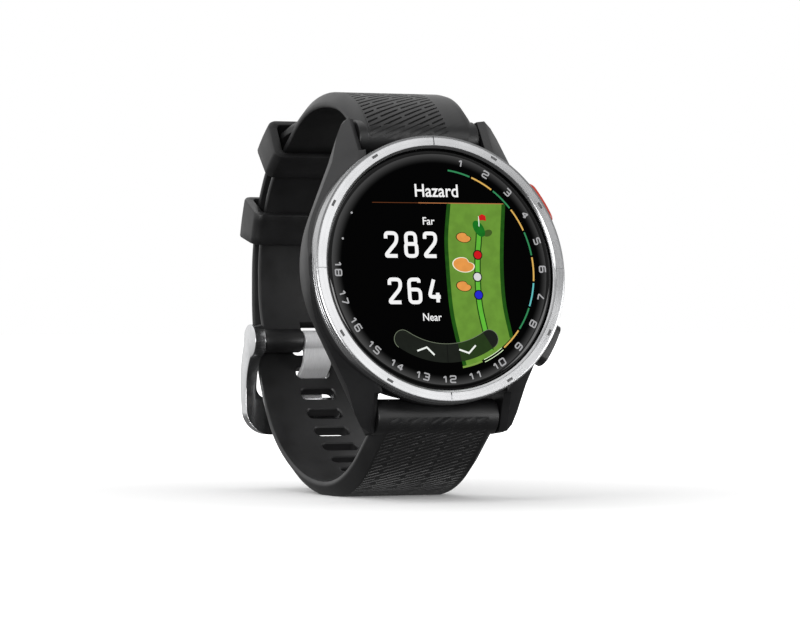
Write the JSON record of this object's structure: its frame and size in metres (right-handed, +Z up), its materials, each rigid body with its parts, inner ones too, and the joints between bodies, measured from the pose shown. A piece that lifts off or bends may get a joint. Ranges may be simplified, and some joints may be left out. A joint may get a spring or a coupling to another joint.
{
  "type": "golf gps watch",
  "caption": "Round golf watch with a steel-look bezel, a lit map display, side buttons and a textured silicone strap closed by a pin buckle.",
  "frame": {"origin": "middle of the flat under the strap that the watch stands on", "axes": "+X to 3 o'clock, +Y from the dial to the buckle, +Z up"},
  "size_m": [0.041, 0.0592, 0.0611],
  "materials": {
    "case_polymer": "fine satin, moulded",
    "cover_polymer": "matt, moulded",
    "bezel_metal": "brushed round the ring",
    "lens_glass": "polished",
    "print_black": "gloss black print",
    "display": "glossy, lit",
    "inner_polymer": "moulded",
    "board": "solder mask",
    "antenna_ceramic": "matt ceramic",
    "battery_foil": "foil",
    "steel": "plain turned",
    "buckle_steel": "polished with fine brushing",
    "contact_gold": "gold plated",
    "seal_rubber": "matt",
    "button_red": "anodised satin red",
    "button_black": "satin black",
    "strap_silicone": "satin silicone with fine grooves"
  },
  "bodies": {
    "case": {"case_shell": "case_polymer", "bezel": "bezel_metal", "lens": "lens_glass", "number_ring": "print_black", "lens_gasket": "seal_rubber", "display_panel": "display", "display_carrier": "inner_polymer", "main_board": "board", "satellite_antenna": "antenna_ceramic", "battery": "battery_foil", "vibration_motor": "steel", "action_switch": "inner_polymer", "menu_switch": "inner_polymer", "back_cover": "cover_polymer", "back_seal": "seal_rubber", "back_screws": "steel", "charge_block": "inner_polymer", "charge_contacts": "contact_gold", "action_button_seal": "seal_rubber", "action_button_spring": "steel", "menu_button_seal": "seal_rubber", "menu_button_spring": "steel", "upper_strap": "strap_silicone", "lower_strap": "strap_silicone", "upper_bar_tube": "steel", "upper_bar_fixed_pin": "steel", "upper_bar_spring": "steel", "lower_bar_tube": "steel", "lower_bar_fixed_pin": "steel", "lower_bar_spring": "steel", "buckle_pin": "steel"},
    "action_button": {"action_button_cap": "button_red", "action_button_stem": "steel", "action_button_clip": "steel"},
    "menu_button": {"menu_button_cap": "button_black", "menu_button_stem": "steel", "menu_button_clip": "steel"},
    "upper_release": {"upper_bar_release_pin": "steel"},
    "lower_release": {"lower_bar_release_pin": "steel"},
    "lower_loop": {"lower_keeper": "strap_silicone"},
    "upper_loop": {"upper_keeper": "strap_silicone"},
    "buckle": {"buckle_frame": "buckle_steel"},
    "tongue": {"buckle_tongue": "buckle_steel"}
  },
  "joints": [
    {"name": "action_button_press", "type": "slide", "parent": "case", "child": "action_button", "axis": [-0.866, -0.0847, -0.4928], "range_m": [0, 0.0006], "stiffness_N_per_m": 1500, "springref_m": -0.0003, "deforming": ["action_button_spring"]},
    {"name": "menu_button_press", "type": "slide", "parent": "case", "child": "menu_button", "axis": [-0.866, 0.0847, 0.4928], "range_m": [0, 0.0006], "stiffness_N_per_m": 1500, "springref_m": -0.0003, "deforming": ["menu_button_spring"]},
    {"name": "upper_release_pull", "type": "slide", "parent": "case", "child": "upper_release", "axis": [-1, 0, 0], "range_m": [0, 0.0013], "stiffness_N_per_m": 400, "springref_m": -0.0005, "deforming": ["upper_bar_spring"]},
    {"name": "lower_release_pull", "type": "slide", "parent": "case", "child": "lower_release", "axis": [-1, 0, 0], "range_m": [0, 0.0013], "stiffness_N_per_m": 400, "springref_m": -0.0005, "deforming": ["lower_bar_spring"]},
    {"name": "lower_keeper_slide", "type": "hinge", "parent": "case", "child": "lower_loop", "pos_m": [0, 0.0048, 0.0334], "axis": [1, 0, 0], "range_deg": [-12, 8]},
    {"name": "upper_keeper_slide", "type": "hinge", "parent": "case", "child": "upper_loop", "pos_m": [0, 0.0048, 0.0334], "axis": [1, 0, 0], "range_deg": [-8, 3]},
    {"name": "buckle_hinge", "type": "hinge", "parent": "case", "child": "buckle", "pos_m": [0, 0.026, 0.0233], "axis": [1, 0, 0], "range_deg": [0, 3]},
    {"name": "tongue_hinge", "type": "hinge", "parent": "buckle", "child": "tongue", "pos_m": [0, 0.026, 0.0233], "axis": [1, 0, 0], "range_deg": [0, 3]}
  ]
}
